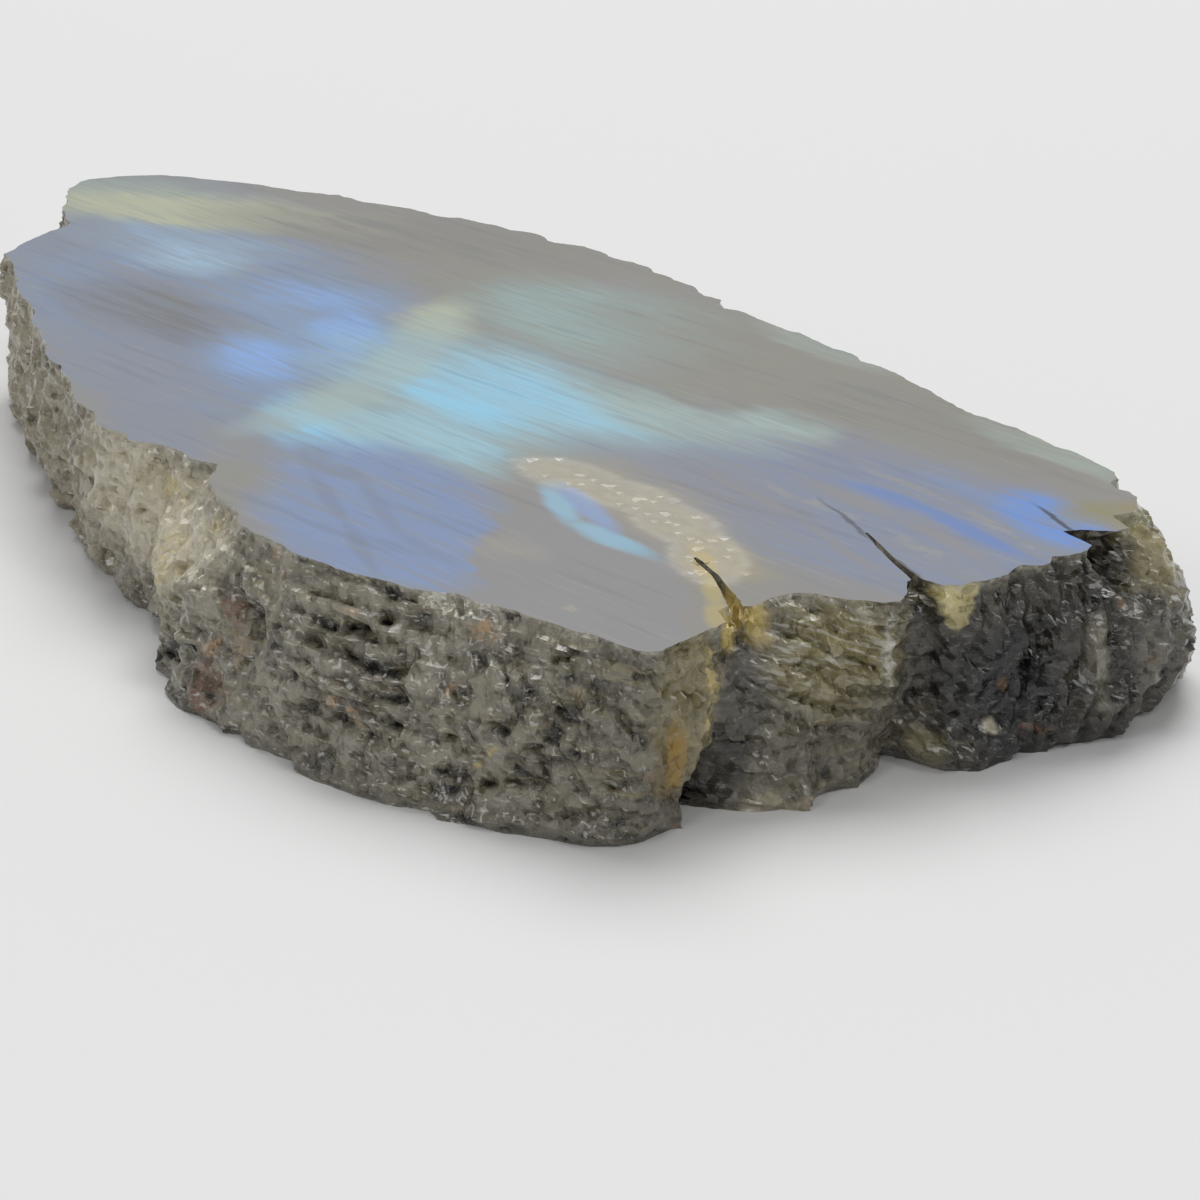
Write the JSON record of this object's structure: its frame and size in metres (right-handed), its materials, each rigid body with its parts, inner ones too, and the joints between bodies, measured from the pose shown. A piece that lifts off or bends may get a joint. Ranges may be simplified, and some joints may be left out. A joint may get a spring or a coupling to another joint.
{
  "type": "labradorite slice",
  "caption": "Flat slice of labradorite with a polished face, a sawn underside and a rough broken rim; it lies on its flat underside.",
  "frame": {"origin": "on the sawn underside, below the middle of the slice's length and width", "axes": "+X along the slice to its blunt lobed end, +Z out of the polished face"},
  "size_m": [0.1484, 0.0738, 0.014],
  "materials": {
    "labradorite": "polished faces with blue and teal colour play, rough dark rim"
  },
  "bodies": {
    "root": {"labradorite_slice": "labradorite"}
  },
  "joints": []
}
